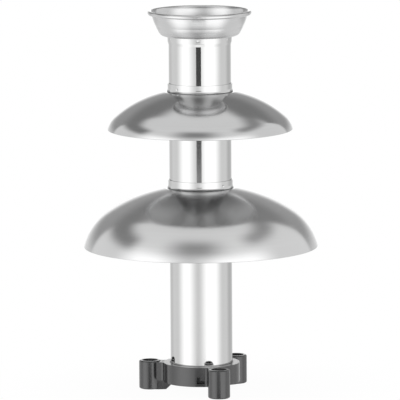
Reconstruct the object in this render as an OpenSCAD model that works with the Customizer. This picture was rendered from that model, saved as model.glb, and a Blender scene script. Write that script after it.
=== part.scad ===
// Tower of a chocolate fountain: a steel column of stacked tubes with two domed
// tiers and a crown cup, an auger inside it, and a plastic foot ring whose three
// sockets drop over the pegs of a fountain bowl.
// Millimetres, Z up, origin on the column's axis at the level the feet stand on.

/* [Column] */
// Outside diameter of the column tubes
tube_od = 60.4; // [54:0.2:66]
// Wall of the column tubes
tube_wall = 1.2; // [0.8:0.1:1.6]
// Height of the lower tier's seat above the table
lower_seat_z = 199.2; // [186:0.2:216]
// Height of the upper tier's seat above the table
upper_seat_z = 293.2; // [281:0.2:306]
// Height of the column's top end, where the crown sits
crown_seat_z = 347.2; // [336:0.2:371]

/* [Tiers] */
// Thickness of the spun sheet of the tiers and the crown
sheet = 1; // [0.8:0.1:1.2]
// Diameter of the lower tier at its rim
lower_tier_d = 227; // [208:1:243]
// Height of the lower tier from its rim to its seat
lower_tier_h = 57.5; // [50:0.5:66]
// Slope of the lower tier where it leaves its seat, in degrees
lower_seat_slope = 12; // [8:1:16]
// Slope of the lower tier where its flank turns into its rim, in degrees
lower_flank_slope = 35; // [32:1:38]
// Diameter of the upper tier at its rim
upper_tier_d = 179.4; // [165:0.2:195]
// Height of the upper tier from its rim to its seat
upper_tier_h = 37; // [34:0.5:42]
// Slope of the upper tier where it leaves its seat, in degrees
upper_seat_slope = 14; // [9:1:16]
// Slope of the upper tier where its flank turns into its rim, in degrees
upper_flank_slope = 42; // [39:1:45]
// Slope of both tiers at the rim, in degrees
rim_slope = 75; // [72:1:80]
// Width of the flat seat round each tier's hole
seat_w = 2; // [1.6:0.1:3]
// Radius between a tier's seat and its flank
seat_blend_r = 8; // [4:0.5:12]
// Radius between a tier's seat and its neck
neck_bend_r = 1.6; // [1.4:0.1:2.4]
// Length of the neck that hangs below a tier's seat
neck_len = 6; // [4:0.5:10]
// Height of the rest ring that carries a tier's neck
rest_ring_h = 3; // [2:0.5:5]
// Radial width of the rest ring
rest_ring_w = 2.6; // [1.6:0.1:4]

/* [Collars] */
// Height of the collar round the foot of each upper tube
collar_h = 8; // [6.5:0.5:12]
// Thickness of the collar sheet
collar_sheet = 1; // [0.8:0.05:1.3]
// Depth that the tube below stands up into a collar
socket_depth = 4.4; // [3:0.2:5]
// Radius of a collar's flared mouth
mouth_r = 5; // [3:0.5:6]
// Turn of a collar's flared mouth, in degrees
mouth_turn = 40; // [25:1:45]
// Lean of a collar's wall, out towards its top, in degrees
collar_lean = 1.3; // [0.5:0.1:2.5]
// Height of the crown's collar
crown_collar_h = 8.2; // [6:0.2:10]
// Height of the bevel at the foot of the crown's collar
crown_collar_bevel = 2.8; // [1.5:0.1:4]
// Diameter of the dimples in the collars
dimple_d = 2.2; // [1.4:0.1:3]
// Depth of the dimples
dimple_depth = 0.4; // [0.2:0.05:0.6]
// Height of the dimples above a collar's foot
dimple_h = 3.6; // [3:0.1:4.4]

/* [Crown] */
// Diameter of the crown over its rolled rim
crown_d = 100.6; // [94:0.2:112]
// Height of the crown from its seat to the top of its rim
crown_h = 24.4; // [20:0.2:30]
// Slope of the crown's wall below its crease, in degrees
crown_foot_slope = 62; // [58:1:65]
// Slope of the crown's wall above its crease, in degrees
crown_wall_slope = 71; // [68:1:75]
// Height of the crease in the crown's wall above its seat
crown_crease_h = 10; // [8:0.5:12]
// Radius inside the crown at its crease
crown_crease_r = 2; // [1:0.5:4]
// Radius inside the crown between its floor and its wall
crown_floor_r = 5; // [4:0.5:7]
// Radius that turns the crown's wall upright below its rim
crown_neck_r = 6; // [4:0.5:9]
// Radius of the rolled rim
bead_r = 2.1; // [1.6:0.1:3]
// Turn of the rolled rim, in degrees
bead_turn = 290; // [240:5:300]

/* [Foot ring] */
// Outside diameter of the foot ring
ring_od = 74.4; // [71:0.2:80]
// Height of the foot ring
ring_h = 19; // [17:0.5:24]
// Width of the foot ring's broken edges
ring_edge = 0.8; // [0.4:0.1:1.2]
// Height of the feet below the foot ring
foot_drop = 8.4; // [6:0.2:11]
// Depth that the lower tube stands in the foot ring
ring_socket_depth = 9; // [7:0.5:11]
// Diameter of the circle of the peg sockets
socket_pcd = 102.6; // [99:0.2:110]
// Outside diameter of a peg socket
socket_od = 21.4; // [19:0.2:23]
// Bore of a peg socket
socket_bore = 15; // [12:0.2:16]
// Height that a peg socket stands above the foot ring
socket_rise = 0.5; // [0:0.1:2]
// Width of the web between the ring and a peg socket
web_w = 14.8; // [13:0.2:17]
// Width that the web gains on each side inside the ring's wall
web_root_w = 2; // [1:0.2:2]
// Depth of the webs' top below the ring's top
web_sink = 0.4; // [0.2:0.1:2]
// Height of the webs' underside above the ring's
web_lift = 0.5; // [0.3:0.1:1]
// Width of the foot rib under each web at its toe
toe_w = 7; // [5:0.2:9]
// Width that the foot rib is narrower than its web on each side
rib_inset = 0.2; // [0.1:0.1:0.8]
// Distance outside the ring where the foot rib reaches its full width
rib_reach = 4; // [2:0.5:6]
// Distance of the foot ribs' toes from the ring's bore
toe_inset = 1.2; // [0.6:0.1:3]
// Direction of the first peg socket, in degrees from +X
first_socket = -71; // [-180:1:180]
// Diameter of the core hole in the top of each web
core_hole_d = 3.6; // [2:0.1:5]
// Depth of the core holes
core_hole_depth = 2.4; // [1:0.2:6]
// Width of the L-shaped recess beside each web
recess_w = 7.4; // [6.6:0.2:7.4]
// Height of the L-shaped recess
recess_h = 6.4; // [5:0.2:7]
// Width of each leg of the L-shaped recess
recess_leg = 3; // [2:0.1:3.6]
// Depth of the L-shaped recess in the ring's wall
recess_depth = 5; // [3:0.2:5.6]
// Depth of the recess's top below the foot of the lower tube
recess_sink = 0.5; // [0.3:0.1:1]
// Turn from a socket to the middle of its recess, in degrees
recess_turn = 20.6; // [20.6:0.2:25]

/* [Auger] */
// Outside diameter of the auger's core tube
core_od = 22; // [18:0.5:26]
// Wall of the core tube
core_wall = 1.5; // [1:0.1:2]
// Height of one turn of the flight
pitch = 36; // [28:1:44]
// Thickness of the flight, measured along the axis
flight_t = 2.4; // [1.8:0.1:4]
// Height at which the flight begins
flight_z = 9; // [8.5:0.5:12]
// Depth of the flight's top end below the column's top end
flight_top_gap = 12; // [8:0.5:20]
// Height of the drive hub below the core tube
hub_h = 13; // [10:0.5:18]
// Length of the hub and the plug inside the core tube
plug_len = 16; // [10:0.5:24]
// Bore of the drive hub
drive_bore = 10; // [8:0.2:12]
// Depth of the drive hub's bore
drive_depth = 24; // [16:0.5:26]
// Width of the drive slot across the hub's foot
drive_slot_w = 3.2; // [2.4:0.1:3.6]
// Depth of the drive slot
drive_slot_depth = 6; // [4:0.2:8]
// Height of the auger's rounded top
tip_h = 6; // [4:0.5:9]

/* [Fits] */
// Radial clearance of tubes in collars, necks and the foot ring
slip = 0.1; // [0.05:0.01:0.2]
// Gap left between the ends of two tubes in a collar
end_gap = 0.3; // [0.2:0.05:0.6]
// Radial clearance of the auger in the column
auger_clear = 0.6; // [0.4:0.05:0.9]
// Height of the auger's foot above the table
auger_lift = 4.6; // [3.6:0.1:5.6]
// Radial clearance of the hub and the plug in the core tube
plug_clear = 0.02; // [0.01:0.01:0.05]
// Radial gap between the flight and its core tube
flight_gap = 0.1; // [0.05:0.05:0.3]

/* [Hidden] */
$fn = 96;
eps = 0.01;
chord_tol = 0.03;
sockets = 3;
socket_step = 360 / sockets;
tube_r = tube_od / 2;
bore_r = tube_r - tube_wall;
slip_r = tube_r + slip;
core_r = core_od / 2;
plug_r = core_r - core_wall - plug_clear;
flight_r = bore_r - auger_clear;

// Levels up the column
ring_z = foot_drop;
ring_top_z = ring_z + ring_h;
lower_tube_z = ring_top_z - ring_socket_depth;
lower_tube_top_z = lower_seat_z + socket_depth;
middle_tube_z = lower_tube_top_z + end_gap;
middle_tube_top_z = upper_seat_z + socket_depth;
upper_tube_z = middle_tube_top_z + end_gap;
core_z = auger_lift + hub_h;
core_top_z = crown_seat_z - flight_top_gap + core_wall;
flight_top_z = crown_seat_z - flight_top_gap;

// Directions of the first dimples, so that the collars don't all line up
middle_dimple_angle = -46;
upper_dimple_angle = -135;
crown_dimple_angle = -33;

// Overlap of the foot ribs with the webs above them
web_root = 1;

// The auger's flight is swept in equal steps
flight_steps_per_turn = 24;
flight_step = 360 / flight_steps_per_turn;
flight_sector = 360 * flight_t / pitch;
sector_points = 4;

steel = [0.78, 0.79, 0.8];
spun_steel = [0.7, 0.71, 0.72];
black_plastic = [0.1, 0.1, 0.11];
auger_steel = [0.66, 0.67, 0.69];

// Sheet profiles
// A sheet's profile is a chain of steps along one of its faces, in the plane of
// radius and height. Each step is [size, turn]: a straight run of that length where
// turn is 0, and otherwise an arc of that radius. A turn to the left is positive.
// Each step leaves in the direction in which the one before it ends.

// Unit vector at an angle
function unit(a) = [cos(a), sin(a)];

// A list from back to front
function reversed(list) = [for (i = [len(list) - 1 : -1 : 0]) list[i]];

// Chords that draw a step within the chord tolerance
function chords(step) =
  step[1] == 0 ? 1 : max(2, ceil(abs(step[1]) / (2 * acos(1 - chord_tol / step[0]))));

// Point at a fraction of a step, moved off the face to the right of the heading
function step_point(p, heading, step, at, shift) =
  let (side = sign(step[1]))
  side == 0
    ? p + at * step[0] * unit(heading) + shift * unit(heading - 90)
    : p + step[0] * unit(heading + side * 90)
      + (step[0] + side * shift) * unit(heading - side * 90 + at * step[1]);

// All points of a chain of steps, less the first
function chain(p, heading, steps, shift, i = 0) =
  i == len(steps)
    ? []
    : concat(
        [for (k = [1 : chords(steps[i])])
          step_point(p, heading, steps[i], k / chords(steps[i]), shift)],
        chain(
          step_point(p, heading, steps[i], 1, 0), heading + steps[i][1], steps, shift, i + 1
        )
      );

// A sheet spun round the axis; its thickness lies to the right of the chain
module spun_sheet(p, heading, steps, t) {
  face = concat([p], chain(p, heading, steps, 0));
  back = concat([p + t * unit(heading - 90)], chain(p, heading, steps, t));
  rotate_extrude() polygon(concat(face, reversed(back)));
}

// Plain shapes

// A straight tube between two heights
module tube(outer_r, inner_r, z, top) {
  translate([0, 0, z]) difference() {
    cylinder(r = outer_r, h = top - z);
    translate([0, 0, -1]) cylinder(r = inner_r, h = top - z + 2);
  }
}

// Three shallow dimples round a collar
module dimples(r, z, first) {
  ball_r = (dimple_d * dimple_d / 4 + dimple_depth * dimple_depth) / (2 * dimple_depth);
  for (i = [0 : 2])
    rotate([0, 0, first + 120 * i])
      translate([r - dimple_depth + ball_r, 0, z])
        sphere(r = ball_r);
}

// Tiers

// The two radii, flank then rim, that join two slopes across a width and a drop
function tier_radii(width, drop, top_slope, flank, rim) =
  let (
    a = sin(flank) - sin(top_slope),
    b = sin(rim) - sin(flank),
    c = cos(top_slope) - cos(flank),
    d = cos(flank) - cos(rim),
    det = a * d - b * c
  )
  [(width * d - b * drop) / det, (a * drop - c * width) / det];

// A spun dome with a neck that slips over the tube below
module tier(d, h, seat_z, seat_slope, flank) {
  flank_start = slip_r + neck_bend_r + seat_w + seat_blend_r * sin(seat_slope);
  radii = tier_radii(
    d / 2 - flank_start, h - seat_blend_r * (1 - cos(seat_slope)), seat_slope, flank, rim_slope
  );
  spun_sheet([slip_r, seat_z - neck_len], 90, [
    [neck_len - neck_bend_r, 0],
    [neck_bend_r, -90],
    [seat_w, 0],
    [seat_blend_r, -seat_slope],
    [radii[0], seat_slope - flank],
    [radii[1], flank - rim_slope]
  ], sheet);
}

module lower_tier() {
  color(spun_steel)
    tier(lower_tier_d, lower_tier_h, lower_seat_z, lower_seat_slope, lower_flank_slope);
}

module upper_tier() {
  color(spun_steel)
    tier(upper_tier_d, upper_tier_h, upper_seat_z, upper_seat_slope, upper_flank_slope);
}

// Ring welded round a tube, under a tier's neck
module rest_ring(seat_z) {
  top = seat_z - neck_len;
  round_r = rest_ring_w / 2;
  rotate_extrude()
    difference() {
      translate([tube_r, top - rest_ring_h]) square([rest_ring_w, rest_ring_h]);
      translate([tube_r + rest_ring_w - round_r, top - rest_ring_h])
        difference() {
          square(round_r + eps);
          translate([0, round_r]) circle(r = round_r);
        }
    }
}

module lower_rest_ring() {
  color(steel) rest_ring(lower_seat_z);
}

module upper_rest_ring() {
  color(steel) rest_ring(upper_seat_z);
}

// Column

module lower_tube() {
  color(steel) tube(tube_r, bore_r, lower_tube_z, lower_tube_top_z);
}

module middle_tube() {
  color(steel) tube(tube_r, bore_r, middle_tube_z, middle_tube_top_z);
}

module upper_tube() {
  color(steel) tube(tube_r, bore_r, upper_tube_z, crown_seat_z);
}

// Sleeve round the foot of a tube, cut level at both ends, with a flared mouth on the
// tier below and dimples where it takes the end of the tube below
module collar(seat_z, dimple_angle) {
  heading = 90 + mouth_turn;
  mouth = [slip_r + mouth_r * (1 - cos(mouth_turn)), 0];
  difference() {
    translate([0, 0, seat_z])
      intersection() {
        spun_sheet(mouth - collar_sheet * unit(heading), heading, [
          [collar_sheet, 0],
          [mouth_r, -mouth_turn - collar_lean],
          [collar_h, 0]
        ], collar_sheet);
        cylinder(r = tube_od, h = collar_h);
      }
    dimples(slip_r + collar_sheet, seat_z + dimple_h, dimple_angle);
  }
}

module middle_collar() {
  color(steel) collar(lower_seat_z, middle_dimple_angle);
}

module upper_collar() {
  color(steel) collar(upper_seat_z, upper_dimple_angle);
}

// Crown

// Cup with a creased wall and a rolled rim; its floor stands on the end of the upper tube
module crown() {
  foot_run = (
    crown_crease_h - sheet - crown_floor_r * (1 - cos(crown_foot_slope))
  ) / sin(crown_foot_slope);
  wall_run = (
    crown_h - crown_crease_h
    - crown_crease_r * (cos(crown_foot_slope) - cos(crown_wall_slope))
    - crown_neck_r * cos(crown_wall_slope) - bead_r
  ) / sin(crown_wall_slope);
  floor_edge = crown_d / 2 - 2 * bead_r
    - crown_neck_r * (1 - sin(crown_wall_slope))
    - wall_run * cos(crown_wall_slope)
    - crown_crease_r * (sin(crown_wall_slope) - sin(crown_foot_slope))
    - foot_run * cos(crown_foot_slope)
    - crown_floor_r * sin(crown_foot_slope);
  color(spun_steel)
    spun_sheet([bore_r, crown_seat_z + sheet], 0, [
      [floor_edge - bore_r, 0],
      [crown_floor_r, crown_foot_slope],
      [foot_run, 0],
      [crown_crease_r, crown_wall_slope - crown_foot_slope],
      [wall_run, 0],
      [crown_neck_r, 90 - crown_wall_slope],
      [bead_r, -bead_turn]
    ], sheet);
}

// Sleeve welded under the crown's floor, bevelled down to the tube
module crown_collar() {
  outer_r = slip_r + collar_sheet;
  foot_z = crown_seat_z - crown_collar_h;
  color(steel)
    difference() {
      rotate_extrude()
        polygon([
          [slip_r, foot_z],
          [slip_r + collar_sheet / 4, foot_z],
          [outer_r, foot_z + crown_collar_bevel],
          [outer_r, crown_seat_z],
          [slip_r, crown_seat_z]
        ]);
      dimples(outer_r, crown_seat_z - dimple_d, crown_dimple_angle);
    }
}

// Foot ring

// A peg socket with broken edges
module socket_post() {
  r = socket_od / 2;
  edge = (socket_od - socket_bore) / 4;
  top = ring_top_z + socket_rise;
  rotate_extrude()
    polygon([
      [0, 0],
      [r - edge, 0],
      [r, edge],
      [r, top - edge],
      [r - edge, top],
      [0, top]
    ]);
}

// Web from the ring's wall to a socket, wider at the ring
module web() {
  wall_r = (slip_r + ring_od / 2) / 2;
  low = ring_z + web_lift;
  half = web_w / 2;
  root_half = half + web_root_w;
  neck_r = ring_od / 2 + web_root_w;
  translate([0, 0, low])
    linear_extrude(height = ring_top_z - web_sink - low)
      polygon([
        [wall_r, -root_half],
        [neck_r, -half],
        [socket_pcd / 2, -half],
        [socket_pcd / 2, half],
        [neck_r, half],
        [wall_r, root_half]
      ]);
}

// Foot rib under a web, from a socket to a slanted toe under the ring
module foot_rib() {
  toe_r = bore_r + toe_inset;
  toe_cut = foot_drop / 2;
  top = ring_z + web_root;
  full_r = ring_od / 2 + rib_reach;
  full_half = web_w / 2 - rib_inset;
  toe_half = toe_w / 2 - (full_half - toe_w / 2) / (full_r - toe_r);
  intersection() {
    rotate([90, 0, 0])
      linear_extrude(height = 2 * web_w, center = true)
        polygon([
          [toe_r + toe_cut, 0],
          [socket_pcd / 2, 0],
          [socket_pcd / 2, top],
          [toe_r, top],
          [toe_r, toe_cut]
        ]);
    translate([0, 0, -1])
      linear_extrude(height = top + 2)
        polygon([
          [toe_r - 1, -toe_half],
          [full_r, -full_half],
          [socket_pcd / 2 + 1, -full_half],
          [socket_pcd / 2 + 1, full_half],
          [full_r, full_half],
          [toe_r - 1, toe_half]
        ]);
  }
}

// L-shaped recess in the ring's wall, below the tube's foot
module recess() {
  rotate([0, 0, -recess_turn])
    translate([ring_od / 2 - recess_depth, 0, lower_tube_z - recess_sink - recess_h])
      rotate([90, 0, 90])
        linear_extrude(height = 2 * recess_depth)
          union() {
            translate([-recess_w / 2, 0]) square([recess_w, recess_leg]);
            translate([-recess_w / 2, 0]) square([recess_leg, recess_h]);
          }
}

module base_ring() {
  ring_r = ring_od / 2;
  color(black_plastic)
    difference() {
      union() {
        rotate_extrude()
          polygon([
            [0, ring_z],
            [ring_r - ring_edge, ring_z],
            [ring_r, ring_z + ring_edge],
            [ring_r, ring_top_z - ring_edge],
            [ring_r - ring_edge, ring_top_z],
            [0, ring_top_z]
          ]);
        for (i = [0 : sockets - 1])
          rotate([0, 0, first_socket + socket_step * i]) {
            web();
            foot_rib();
            translate([socket_pcd / 2, 0, 0]) socket_post();
          }
      }
      translate([0, 0, -1]) cylinder(r = bore_r, h = ring_top_z + 2);
      translate([0, 0, lower_tube_z]) cylinder(r = slip_r, h = ring_socket_depth + 1);
      translate([0, 0, ring_top_z - ring_edge])
        cylinder(r1 = slip_r, r2 = slip_r + 2 * ring_edge, h = 2 * ring_edge);
      for (i = [0 : sockets - 1])
        rotate([0, 0, first_socket + socket_step * i]) {
          translate([socket_pcd / 2, 0, -1])
            cylinder(d = socket_bore, h = ring_top_z + socket_rise + 2);
          translate([ring_r + 1, 0, ring_top_z - core_hole_depth])
            cylinder(d = core_hole_d, h = core_hole_depth + 1);
          recess();
        }
    }
}

// Auger

// Radius that clears the core tube even between two steps of the sweep
flight_inner_r = (core_r + flight_gap) / cos(flight_step / 2);

// Helical blade wound round the core tube
module auger_flight() {
  rise = flight_top_z - flight_z;
  turns = rise / pitch;
  sector = [for (i = [0 : sector_points]) flight_sector * (i / sector_points - 0.5)];
  color(auger_steel)
    translate([0, 0, flight_z])
      linear_extrude(
        height = rise, twist = -360 * turns,
        slices = ceil(turns * flight_steps_per_turn), $fn = 2 * sector_points + 2
      )
        polygon(concat(
          [for (a = sector) flight_r * unit(a)],
          [for (i = [sector_points : -1 : 0]) flight_inner_r * unit(sector[i])]
        ));
}

module auger_tube() {
  color(auger_steel) tube(core_r, core_r - core_wall, core_z, core_top_z);
}

// Plug in the foot of the core tube, bored and slotted for a drive spindle
module auger_drive_hub() {
  color(steel)
    translate([0, 0, auger_lift])
      difference() {
        union() {
          cylinder(r = core_r, h = hub_h);
          cylinder(r = plug_r, h = hub_h + plug_len);
        }
        translate([0, 0, -1]) cylinder(d = drive_bore, h = drive_depth + 1);
        translate([-core_od, -drive_slot_w / 2, -1])
          cube([2 * core_od, drive_slot_w, drive_slot_depth + 1]);
      }
}

// Rounded plug in the top of the core tube
module auger_top_plug() {
  tip_r = (core_r * core_r + tip_h * tip_h) / (2 * tip_h);
  color(steel)
    translate([0, 0, core_top_z]) {
      translate([0, 0, -plug_len]) cylinder(r = plug_r, h = plug_len);
      rotate_extrude()
        intersection() {
          translate([0, tip_h - tip_r]) circle(r = tip_r);
          square([core_r, tip_h]);
        }
    }
}

base_ring();
lower_tube();
lower_rest_ring();
lower_tier();
middle_tube();
middle_collar();
upper_rest_ring();
upper_tier();
upper_tube();
upper_collar();
crown();
crown_collar();
auger_tube();
auger_flight();
auger_drive_hub();
auger_top_plug();
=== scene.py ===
"""Looks of a chocolate fountain's tower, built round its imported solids.

Everything is in metres, Z up, with the origin on the column's axis at the feet.
Sizes inside the classes are in millimetres, as a maker would write them.
"""

import logging
import math
from dataclasses import dataclass
from enum import Enum
from typing import Iterable, Optional, Sequence, Union

import bmesh
import bpy
from mathutils import Matrix, Vector


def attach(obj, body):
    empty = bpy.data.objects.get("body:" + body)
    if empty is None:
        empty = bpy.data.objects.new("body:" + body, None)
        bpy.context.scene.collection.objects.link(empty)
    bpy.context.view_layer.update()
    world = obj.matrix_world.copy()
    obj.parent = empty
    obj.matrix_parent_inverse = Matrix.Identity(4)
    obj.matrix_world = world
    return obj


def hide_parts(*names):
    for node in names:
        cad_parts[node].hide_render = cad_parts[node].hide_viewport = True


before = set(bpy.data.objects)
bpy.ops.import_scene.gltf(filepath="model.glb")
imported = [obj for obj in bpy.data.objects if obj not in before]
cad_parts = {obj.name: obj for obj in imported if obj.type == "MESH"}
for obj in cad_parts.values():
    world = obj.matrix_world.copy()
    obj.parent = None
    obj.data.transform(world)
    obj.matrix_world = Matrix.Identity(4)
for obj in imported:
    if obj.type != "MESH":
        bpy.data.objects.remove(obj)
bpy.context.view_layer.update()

MM = 0.001
LOG = logging.getLogger("tower")

NOISE_MEAN = 0.5

# Degrees to a chord, on arcs wider than a size in millimetres and on tighter ones
WIDE_ARC = 20.0
WIDE_CHORD = 1.5
TIGHT_CHORD = 9.0
MIN_CHORDS = 3

# Chords of a rounded cut edge, and how far it stands out as a share of half the sheet
EDGE_CUTS = 5
EDGE_BULGE = 0.35

# Angle in degrees above which an edge stays sharp
CREASE = 38.0

# Distances in metres below which points are merged and faces are dropped
MERGE = 1e-7
DEGENERATE = 1e-8
AXIS_R = 1e-6

Point = tuple[float, float]
Triple = tuple[float, float, float]
Outline = list[Point]


class Slot(Enum):
    """Material slots of the record."""

    POLISHED_STEEL = "polished_steel"
    SPUN_STEEL = "spun_steel"
    BLACK_PLASTIC = "black_plastic"
    AUGER_STEEL = "auger_steel"


class Body(Enum):
    """Rigid bodies of the tower."""

    BASE = "base"
    AUGER = "auger"
    LOWER_TIER = "lower_tier"
    MIDDLE_TUBE = "middle_tube"
    UPPER_TIER = "upper_tier"
    UPPER_TUBE = "upper_tube"
    CROWN = "crown"


class Value:
    """A shader value that takes part in Python arithmetic."""

    def __init__(self, graph: "Graph", socket: bpy.types.NodeSocket) -> None:
        """Wraps an output socket of a graph."""
        self.graph = graph
        self.socket = socket

    def math(self, operation: str, *operands: "Operand") -> "Value":
        """Adds one Math node, with its inputs in order."""
        inputs = dict(enumerate(operands))
        return self.graph.value("ShaderNodeMath", {"operation": operation}, inputs)

    def __add__(self, other: "Operand") -> "Value":
        """self + other"""
        return self.math("ADD", self, other)

    def __radd__(self, other: "Operand") -> "Value":
        """other + self"""
        return self.math("ADD", other, self)

    def __sub__(self, other: "Operand") -> "Value":
        """self - other"""
        return self.math("SUBTRACT", self, other)

    def __rsub__(self, other: "Operand") -> "Value":
        """other - self"""
        return self.math("SUBTRACT", other, self)

    def __mul__(self, other: "Operand") -> "Value":
        """self * other"""
        return self.math("MULTIPLY", self, other)

    def __rmul__(self, other: "Operand") -> "Value":
        """other * self"""
        return self.math("MULTIPLY", other, self)

    def root(self) -> "Value":
        """Square root."""
        return self.math("SQRT", self)

    def uneven(self, share: float) -> "Value":
        """A share of a noise, about 0."""
        return share * (self - NOISE_MEAN)

    def blend(self, other: "Value", share: float) -> "Value":
        """A share of this value, and another value for the rest."""
        return self * share + other * (1.0 - share)

    def ramp(self, low: float, high: float) -> "Value":
        """A smooth step from 0 at low to 1 at high."""
        inputs = {"Value": self, "From Min": low, "From Max": high}
        return self.graph.value("ShaderNodeMapRange", {"interpolation_type": "SMOOTHSTEP"}, inputs)


Operand = Union[Value, float]


def from_axis(across: Value, deep: Value) -> Value:
    """Distance of a point from an upright axis."""
    return (across * across + deep * deep).root()


class Graph:
    """The nodes of one material or world."""

    def __init__(self, tree: bpy.types.NodeTree) -> None:
        """Starts an empty graph on a node tree."""
        self.tree = tree
        tree.nodes.clear()

    def node(self, kind: str, settings: Optional[dict] = None,
             inputs: Optional[dict] = None) -> bpy.types.Node:
        """Adds any node.

        Args:
            kind: the node's type.
            settings: attributes of the node, set first.
            inputs: values or links by socket name or number.

        Returns:
            The new node.
        """
        node = self.tree.nodes.new(kind)
        for name, setting in (settings or {}).items():
            setattr(node, name, setting)
        for key, given in (inputs or {}).items():
            source = given.socket if isinstance(given, Value) else given
            if isinstance(source, bpy.types.NodeSocket):
                self.tree.links.new(source, node.inputs[key])
            else:
                node.inputs[key].default_value = source
        return node

    def value(self, kind: str, settings: Optional[dict] = None, inputs: Optional[dict] = None,
              output: Union[str, int] = 0) -> Value:
        """Adds a node and wraps one of its outputs, by name or number."""
        return Value(self, self.node(kind, settings, inputs).outputs[output])

    def place(self) -> tuple[bpy.types.NodeSocket, Value, Value, Value]:
        """Finds the point on the object.

        Returns:
            The point as a vector and as its three numbers.
        """
        point = self.node("ShaderNodeTexCoord").outputs["Object"]
        split = self.node("ShaderNodeSeparateXYZ", inputs={0: point})
        return (point, *(Value(self, split.outputs[axis]) for axis in range(3)))

    def facing(self) -> Value:
        """How far the surface faces up, from -1 to 1."""
        normal = self.node("ShaderNodeTexCoord").outputs["Normal"]
        return self.value("ShaderNodeSeparateXYZ", inputs={0: normal}, output="Z")

    def ray(self, kind: str) -> Value:
        """1 on rays of a kind and 0 on others."""
        return self.value("ShaderNodeLightPath", output=f"Is {kind} Ray")

    def noise(self, vector: bpy.types.NodeSocket, scale: float, detail: float = 3.0) -> Value:
        """Soft noise in space, with a scale in waves to a metre and a detail in octaves."""
        inputs = {"Vector": vector, "Scale": scale, "Detail": detail}
        return self.value("ShaderNodeTexNoise", {"noise_dimensions": "3D"}, inputs)

    def lines(self, along: Value, scale: float, detail: float = 3.0) -> Value:
        """Noise that changes along one number only, as turned lines do."""
        inputs = {"W": along, "Scale": scale, "Detail": detail}
        return self.value("ShaderNodeTexNoise", {"noise_dimensions": "1D"}, inputs)

    def shade(self, factor: Value, dark: Triple, light: Triple) -> bpy.types.NodeSocket:
        """A colour between two, dark where the factor is 0 and light where it is 1."""
        inputs = {0: factor, 6: (*dark, 1.0), 7: (*light, 1.0)}
        return self.node("ShaderNodeMix", {"data_type": "RGBA"}, inputs).outputs[2]

    def bump(self, height: Value, distance: float, share: float) -> bpy.types.NodeSocket:
        """A normal raised by a height of 0 to 1, where 1 is a distance in metres."""
        inputs = {"Height": height, "Distance": distance, "Strength": share}
        return self.node("ShaderNodeBump", inputs=inputs).outputs[0]

    def shader(self, kind: str, inputs: dict) -> bpy.types.NodeSocket:
        """The shader that a node gives."""
        return self.node(kind, inputs=inputs).outputs[0]

    def output(self, shader: bpy.types.NodeSocket, kind: str = "ShaderNodeOutputMaterial") -> None:
        """Sends a shader to the output."""
        self.node(kind, inputs={"Surface": shader})

    def surface(self, inputs: dict) -> None:
        """Adds the main shader and sends it to the output."""
        self.output(self.shader("ShaderNodeBsdfPrincipled", inputs))


def grey(level: float) -> tuple[float, ...]:
    """An opaque grey, where 1 is white."""
    return (level, level, level, 1.0)


def new_material(name: str) -> tuple[bpy.types.Material, Graph]:
    """Starts a material.

    Args:
        name: its name.

    Returns:
        The material and its empty graph.
    """
    material = bpy.data.materials.new(name)
    material.use_nodes = True
    return material, Graph(material.node_tree)


@dataclass(frozen=True)
class PolishedSteel:
    """Tube steel, polished to a mirror, with faint polishing lines round it."""

    name: str = "polished_steel"
    dark: Triple = (0.575, 0.575, 0.572)
    light: Triple = (0.62, 0.622, 0.622)
    roughness: float = 0.055
    smear: float = 0.035
    smear_band: Point = (0.42, 0.72)
    haze_scale: float = 22.0
    haze_detail: float = 4.0
    line_scale: float = 900.0
    line_dull: float = 0.012
    line_depth: float = 2e-6
    line_share: float = 0.25

    def build(self) -> bpy.types.Material:
        """Makes the material.

        Returns:
            The material.
        """
        material, graph = new_material(self.name)
        point, _, _, height = graph.place()
        haze = graph.noise(point, self.haze_scale, self.haze_detail)
        lines = graph.lines(height, self.line_scale)
        smears = self.smear * haze.ramp(*self.smear_band)
        graph.surface({
            "Base Color": graph.shade(haze, self.dark, self.light),
            "Metallic": 1.0,
            "Roughness": self.roughness + smears + self.line_dull * lines,
            "Normal": graph.bump(lines, self.line_depth, self.line_share),
        })
        return material


@dataclass(frozen=True)
class SpunSteel:
    """Sheet spun over a former and satin-polished, with turned lines round the axis."""

    name: str = "spun_steel"
    dark: Triple = (0.545, 0.545, 0.545)
    light: Triple = (0.605, 0.607, 0.61)
    roughness: float = 0.115
    grain: float = 0.04
    smear: float = 0.03
    haze_scale: float = 14.0
    climb: float = 0.4
    broad_scale: float = 160.0
    broad_detail: float = 2.0
    fine_scale: float = 1700.0
    fine_tint: float = 0.5
    fine_relief: float = 0.6
    line_depth: float = 6e-6
    line_share: float = 0.35
    stretch: float = 0.8
    quarter_turn: float = 0.25
    under_dull: float = 0.18
    under_band: Point = (0.42, 0.62)

    def build(self) -> bpy.types.Material:
        """Makes the material, polished above and left dull below.

        Returns:
            The material.
        """
        material, graph = new_material(self.name)
        point, across, deep, height = graph.place()
        under = (0.0 - graph.facing()).ramp(*self.under_band)
        along = from_axis(across, deep) + height * self.climb
        broad = graph.lines(along, self.broad_scale, self.broad_detail)
        fine = graph.lines(along, self.fine_scale)
        haze = graph.noise(point, self.haze_scale)
        uneven = fine.uneven(self.grain), haze.uneven(self.smear)
        relief = fine.blend(broad, self.fine_relief)
        graph.surface({
            "Base Color": graph.shade(fine.blend(broad, self.fine_tint), self.dark, self.light),
            "Metallic": 1.0,
            "Roughness": sum(uneven, self.roughness) + self.under_dull * under,
            "Anisotropic": self.stretch,
            "Anisotropic Rotation": self.quarter_turn,
            "Normal": graph.bump(relief, self.line_depth, self.line_share),
        })
        return material


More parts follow.
